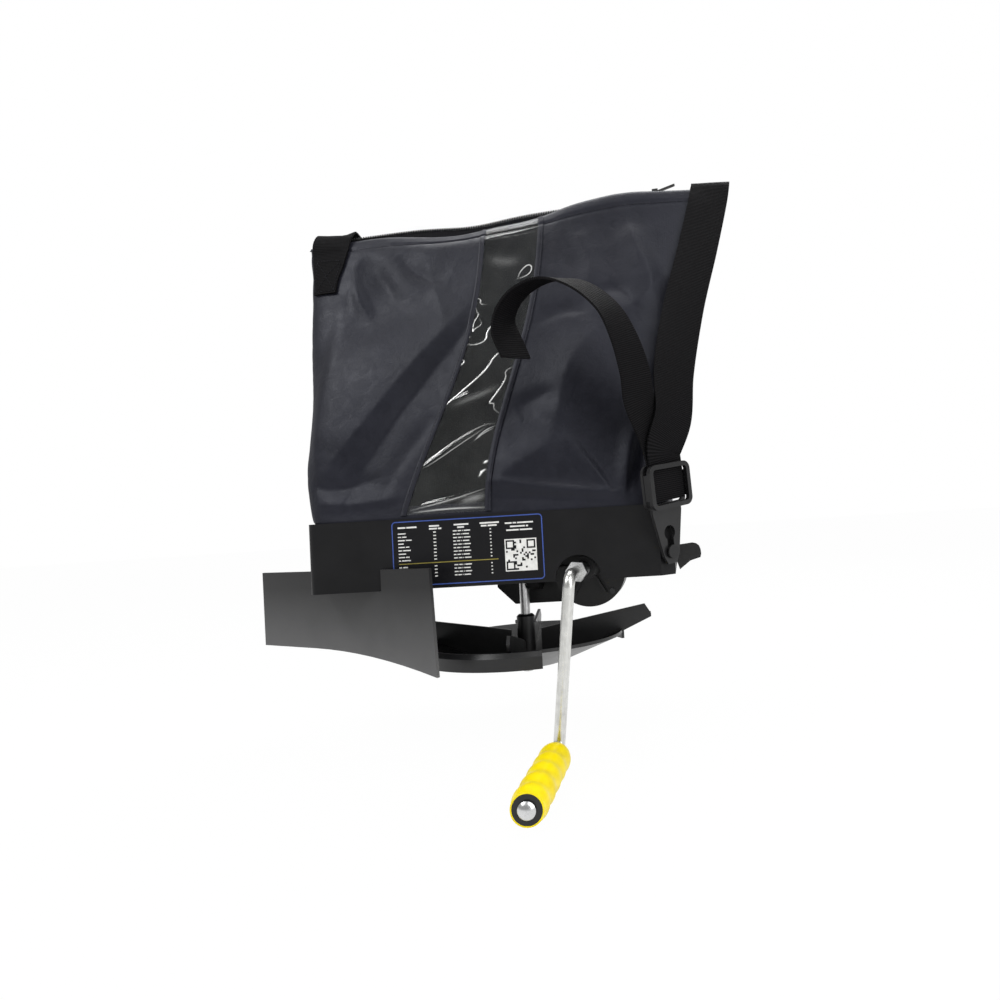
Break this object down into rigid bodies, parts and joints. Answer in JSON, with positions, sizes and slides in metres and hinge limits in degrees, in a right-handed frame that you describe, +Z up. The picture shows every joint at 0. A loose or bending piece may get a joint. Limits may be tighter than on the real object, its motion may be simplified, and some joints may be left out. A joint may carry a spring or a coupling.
{
  "type": "shoulder bag seed spreader",
  "caption": "Shoulder-carried seed spreader: a zipped cloth bag on a plastic pan, with a hand crank geared to a bladed spinner, a sliding feed gate with dial, and a side deflector.",
  "frame": {"origin": "on the belly face of the pan, at mid depth and level with the crank axis", "axes": "+X from the belly face towards the throw, -Y the crank side, +Z up"},
  "size_m": [0.4913, 0.3568, 0.5284],
  "materials": {
    "pan_black": "satin moulded",
    "frame_black": "moulded",
    "bag_nylon": "coated woven nylon",
    "window_vinyl": "clear glossy sheet over the dark bag",
    "zip_black": "moulded coil",
    "webbing": "ribbed webbing",
    "buckle_black": "moulded",
    "steel": "drawn",
    "zinc": "zinc plated",
    "bronze": "sintered",
    "gear_nylon": "natural nylon",
    "grip_yellow": "soft vinyl",
    "gear_case_black": "moulded",
    "spinner_black": "moulded",
    "deflector_grey": "sheet, satin"
  },
  "bodies": {
    "hopper": {"hopper_pan": "pan_black", "bag_frame": "frame_black", "frame_screws": "zinc", "bag": "bag_nylon", "bag_window": "window_vinyl", "zipper_chain": "zip_black", "shoulder_strap": "webbing", "strap_tail": "webbing", "strap_hanger": "buckle_black", "strap_stud": "zinc", "gearbox_case": "gear_case_black", "gearbox_cover": "gear_case_black", "cover_screws": "zinc", "case_screws": "zinc", "crank_bush": "bronze", "counter_bush": "bronze", "shaft_bush": "bronze", "deflector": "deflector_grey"},
    "crank": {"crank_rod": "steel", "crank_nut": "zinc", "crank_shaft": "steel", "crank_gear": "gear_nylon", "rod_cap": "zinc"},
    "grip_body": {"grip": "grip_yellow", "grip_plug": "buckle_black"},
    "counter": {"countershaft": "steel", "counter_pinion": "gear_nylon", "counter_gear": "gear_nylon"},
    "spinner_body": {"spinner_shaft": "steel", "spinner_pinion": "gear_nylon", "spinner": "spinner_black", "spinner_nut": "zinc", "spinner_pin": "zinc", "agitator": "steel"},
    "gate_body": {"gate": "pan_black"},
    "dial": {"dial_shaft": "gear_nylon", "dial_knob": "frame_black"},
    "zip_slider": {"zipper_slider": "zip_black"},
    "zip_pull": {"zipper_pull": "zip_black"}
  },
  "joints": [
    {"name": "crank_turn", "type": "hinge", "parent": "hopper", "child": "crank", "pos_m": [0.24, 0, 0], "axis": [0, 1, 0], "continuous": true},
    {"name": "grip_turn", "type": "hinge", "parent": "crank", "child": "grip_body", "pos_m": [0.22402, -0.2, -0.13808], "axis": [0, 1, 0], "continuous": true},
    {"name": "counter_turn", "type": "hinge", "parent": "hopper", "child": "counter", "pos_m": [0.2, 0, 0], "axis": [1, 0, 0], "continuous": true},
    {"name": "spinner_turn", "type": "hinge", "parent": "hopper", "child": "spinner_body", "pos_m": [0.171, 0, -0.02], "axis": [0, 0, 1], "continuous": true},
    {"name": "gate_slide", "type": "slide", "parent": "hopper", "child": "gate_body", "axis": [1, 0, 0], "range_m": [0, 0.036]},
    {"name": "dial_turn", "type": "hinge", "parent": "hopper", "child": "dial", "pos_m": [0.23, 0.09, 0.00945], "axis": [0, 1, 0], "range_deg": [0, 236]},
    {"name": "zipper_slide", "type": "slide", "parent": "hopper", "child": "zip_slider", "axis": [-0.9981, 0, -0.0618], "range_m": [0, 0.29]},
    {"name": "pull_flip", "type": "hinge", "parent": "zip_slider", "child": "zip_pull", "pos_m": [0.32527, 0, 0.37063], "axis": [0, 1, 0], "range_deg": [-150, 20]}
  ],
  "couplings": [
    {"joint": "counter_turn", "follows": "crank_turn", "ratio": -3.6},
    {"joint": "spinner_turn", "follows": "crank_turn", "ratio": 7.2},
    {"joint": "dial_turn", "follows": "gate_slide", "rad_per_m": 114.29}
  ]
}
